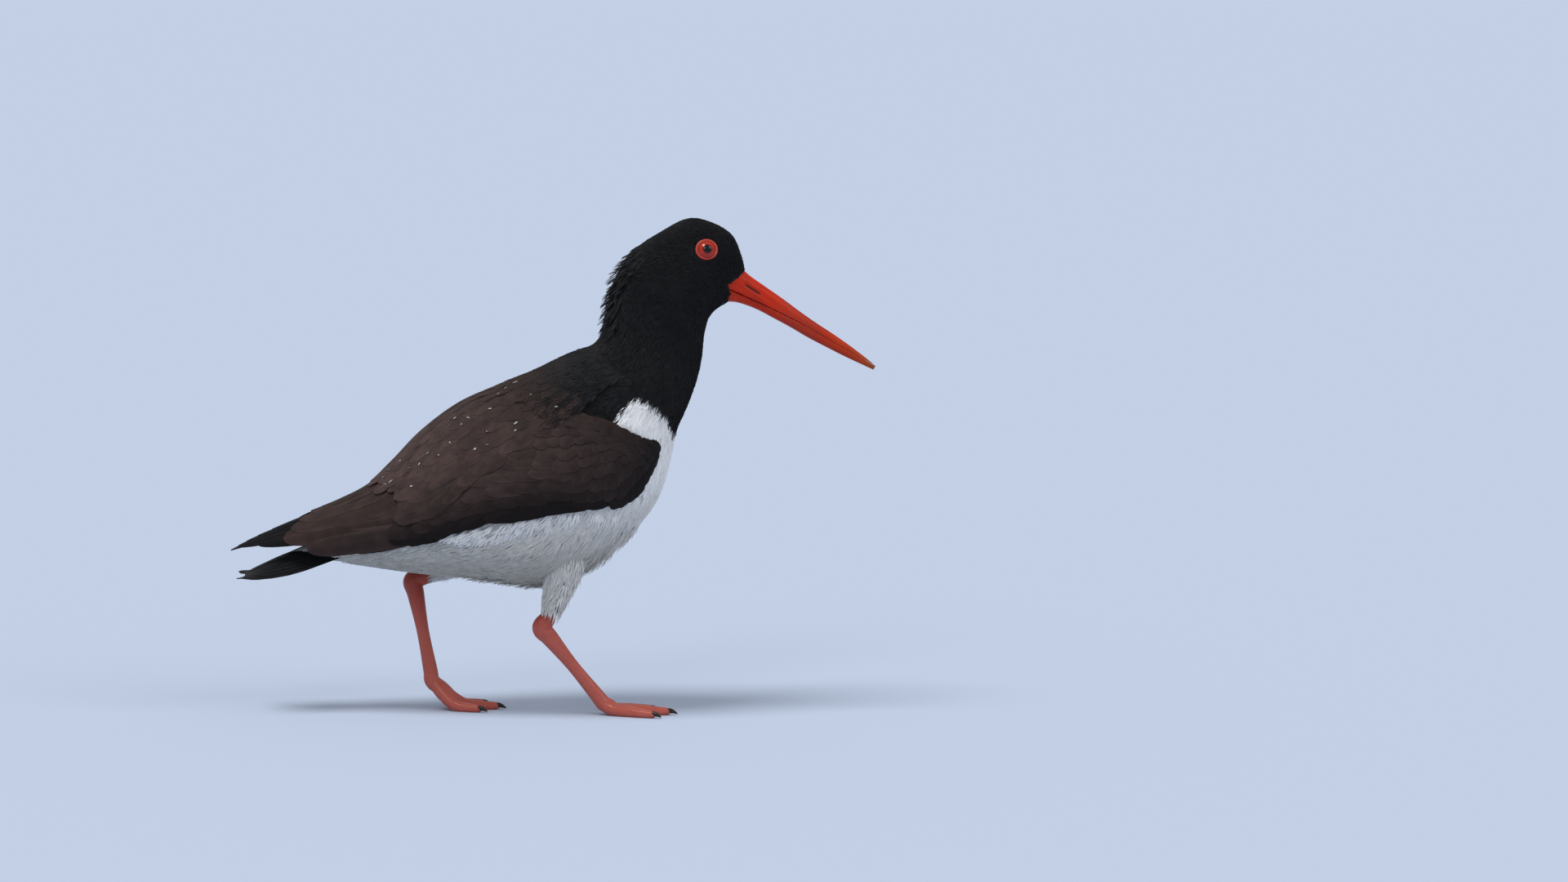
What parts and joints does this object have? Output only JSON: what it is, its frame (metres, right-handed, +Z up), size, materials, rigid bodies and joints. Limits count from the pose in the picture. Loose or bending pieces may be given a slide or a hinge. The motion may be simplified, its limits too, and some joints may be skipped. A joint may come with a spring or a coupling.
{
  "type": "oystercatcher",
  "caption": "Life-size black and white wading bird with a long orange bill, mid-step on pink legs, wings folded.",
  "frame": {"origin": "on the floor under the middle of the whole bird", "axes": "+X the way the bird faces, +Y its left, +Z up"},
  "size_m": [0.3318, 0.0966, 0.2552],
  "materials": {
    "plumage_black": "soft black feathers, matt with a faint sheen",
    "plumage_white": "soft white feathers, matt",
    "flight_feathers": "brown-black feathers, slightly worn, satin",
    "bill": "orange-red horn, satin, with faint mud stains",
    "eye": "wet, clear, red iris and black pupil",
    "leg_skin": "pink-red scaly skin, wet sheen",
    "claw": "dark horn, satin"
  },
  "bodies": {
    "root": {"head": "plumage_black", "neck": "plumage_black", "torso": "plumage_white", "tail": "flight_feathers", "bill_upper": "bill", "bill_lower": "bill", "eye_right": "eye", "wing_right": "flight_feathers", "thigh_right": "plumage_white", "shank_right": "leg_skin", "tarsus_right": "leg_skin", "foot_right": "leg_skin", "claw_right_inner": "claw", "claw_right_middle": "claw", "claw_right_outer": "claw", "eye_left": "eye", "wing_left": "flight_feathers", "thigh_left": "plumage_white", "shank_left": "leg_skin", "tarsus_left": "leg_skin", "foot_left": "leg_skin", "claw_left_inner": "claw", "claw_left_middle": "claw", "claw_left_outer": "claw"}
  },
  "joints": []
}
